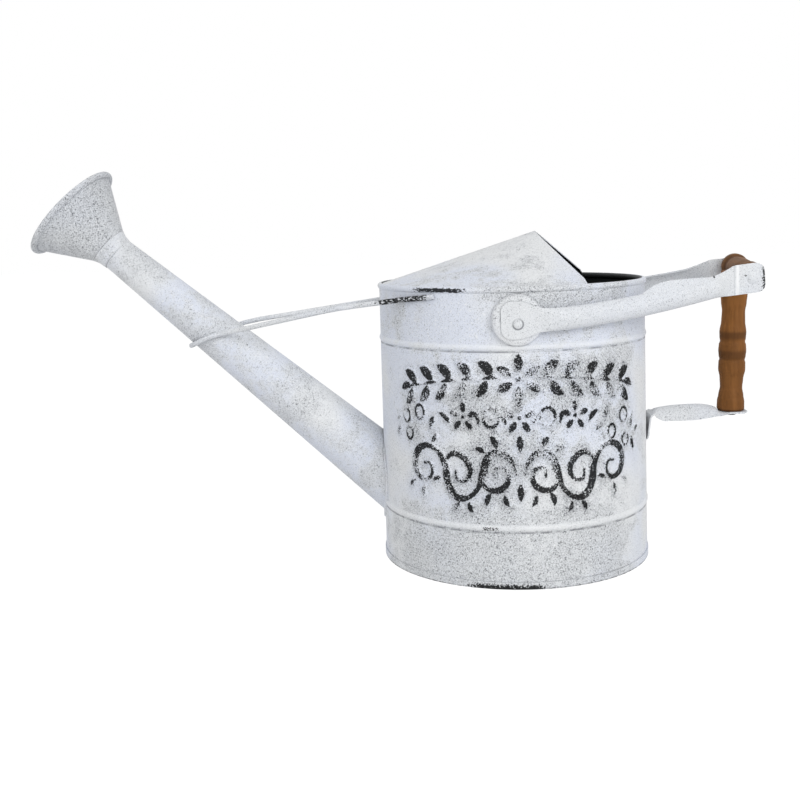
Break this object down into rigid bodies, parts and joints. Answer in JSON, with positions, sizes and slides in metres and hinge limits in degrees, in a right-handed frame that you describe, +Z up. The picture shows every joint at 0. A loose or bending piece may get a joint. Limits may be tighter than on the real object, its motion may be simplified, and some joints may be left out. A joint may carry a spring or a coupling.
{
  "type": "watering can",
  "caption": "Round painted-steel watering can with a half hood, a long spout and rose, a wire brace and a strip handle with turned wooden grips.",
  "frame": {"origin": "centre of the body's foot, on the surface it stands on", "axes": "+Z up along the body's axis, -X towards the spout, +X towards the handle, -Y is the front side"},
  "size_m": [0.5638, 0.2202, 0.3048],
  "materials": {
    "body_paint": "matt white-wash over grey steel, finely speckled, worn dark at the edges",
    "hood_paint": "matt white-wash, lightly speckled",
    "spout_paint": "matt white-wash, lightly speckled",
    "rose_paint": "matt white-wash, scuffed grey",
    "wire_paint": "matt grey-white paint, worn black towards the ends",
    "handle_paint": "matt white-wash, lightly speckled",
    "grip_wood": "dark stained turned wood, satin, darker in the grooves",
    "bare_steel": "dull dark steel"
  },
  "bodies": {
    "root": {"body_shell": "body_paint", "base_plate": "body_paint", "hood": "hood_paint", "spout": "spout_paint", "rose_cone": "rose_paint", "rose_face": "rose_paint", "brace_wire": "wire_paint", "ear_front": "body_paint", "ear_back": "body_paint", "arm_front": "handle_paint", "arm_back": "handle_paint", "ear_rivet_front": "handle_paint", "ear_rivet_back": "handle_paint", "top_grip": "grip_wood", "top_grip_screw_front": "handle_paint", "top_grip_screw_back": "handle_paint", "rear_grip": "grip_wood", "rear_grip_screw": "bare_steel", "lower_strut": "handle_paint"}
  },
  "joints": []
}
